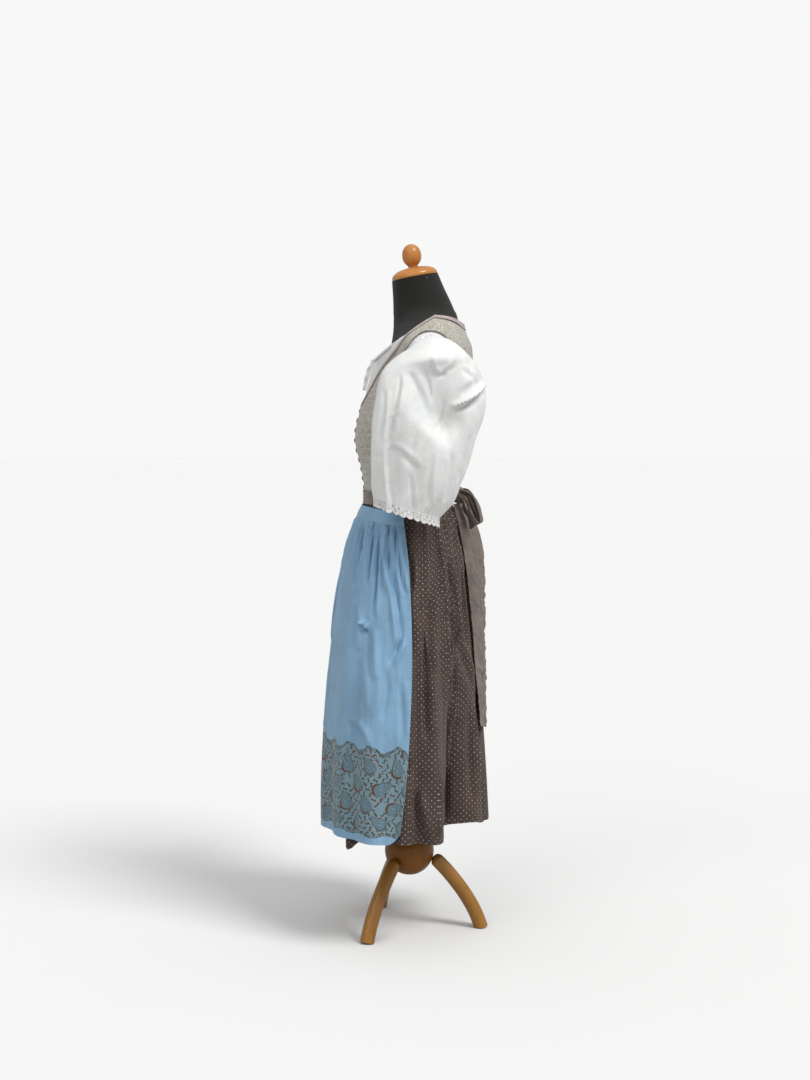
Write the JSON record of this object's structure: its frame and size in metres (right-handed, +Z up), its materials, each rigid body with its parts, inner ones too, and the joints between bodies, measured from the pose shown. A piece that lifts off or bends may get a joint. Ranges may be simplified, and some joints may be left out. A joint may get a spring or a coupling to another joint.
{
  "type": "dirndl dress on a dress form",
  "caption": "Dirndl dress with puff-sleeved blouse, buttoned bodice, dotted skirt, printed apron and a sash tied in a bow behind, on a limbless dress form with a wooden stand.",
  "frame": {"origin": "on the floor, under the middle of the whole object's box", "axes": "+Z up, -Y the way the wearer faces, +X the wearer's left"},
  "size_m": [0.5524, 0.3812, 1.5495],
  "materials": {
    "grey_brocade": "silvery grey brocade, tone-on-tone figured weave, slight sheen",
    "brown_dotted": "dark brown cotton with small off-white pin dots, matt",
    "blue_cotton": "light blue cotton with a printed paisley border along the hem, matt",
    "taupe_satin": "taupe satin ribbon, soft sheen",
    "white_cotton": "crisp white cotton, lightly creased, matt",
    "black_jersey": "black jersey stretched over a padded form",
    "light_wood": "orange-brown varnished wood",
    "dark_wood": "darker brown varnished wood",
    "dark_metal": "oxidised silver-coloured metal"
  },
  "bodies": {
    "root": {"apron_band": "blue_cotton", "apron_panel": "blue_cotton", "blouse_back": "white_cotton", "blouse_binding": "white_cotton", "blouse_frill": "white_cotton", "blouse_front": "white_cotton", "bodice_back": "grey_brocade", "bodice_front_left": "grey_brocade", "bodice_front_right": "grey_brocade", "bow_knot": "taupe_satin", "bow_loop_left": "taupe_satin", "bow_loop_right": "taupe_satin", "bow_tail_left": "taupe_satin", "bow_tail_right": "taupe_satin", "button_1": "dark_metal", "button_2": "dark_metal", "button_3": "dark_metal", "button_4": "dark_metal", "button_5": "dark_metal", "button_6": "dark_metal", "button_7": "dark_metal", "button_8": "dark_metal", "button_9": "dark_metal", "finial": "light_wood", "hub": "dark_wood", "leg_back": "light_wood", "leg_left": "light_wood", "leg_right": "light_wood", "neck_cap": "light_wood", "piping_back": "taupe_satin", "piping_front_left": "taupe_satin", "piping_front_right": "taupe_satin", "pole": "light_wood", "sash_band": "taupe_satin", "skirt_back": "brown_dotted", "skirt_front": "brown_dotted", "sleeve_lace_left": "white_cotton", "sleeve_lace_right": "white_cotton", "sleeve_left": "white_cotton", "sleeve_right": "white_cotton", "torso_form": "black_jersey"}
  },
  "joints": []
}
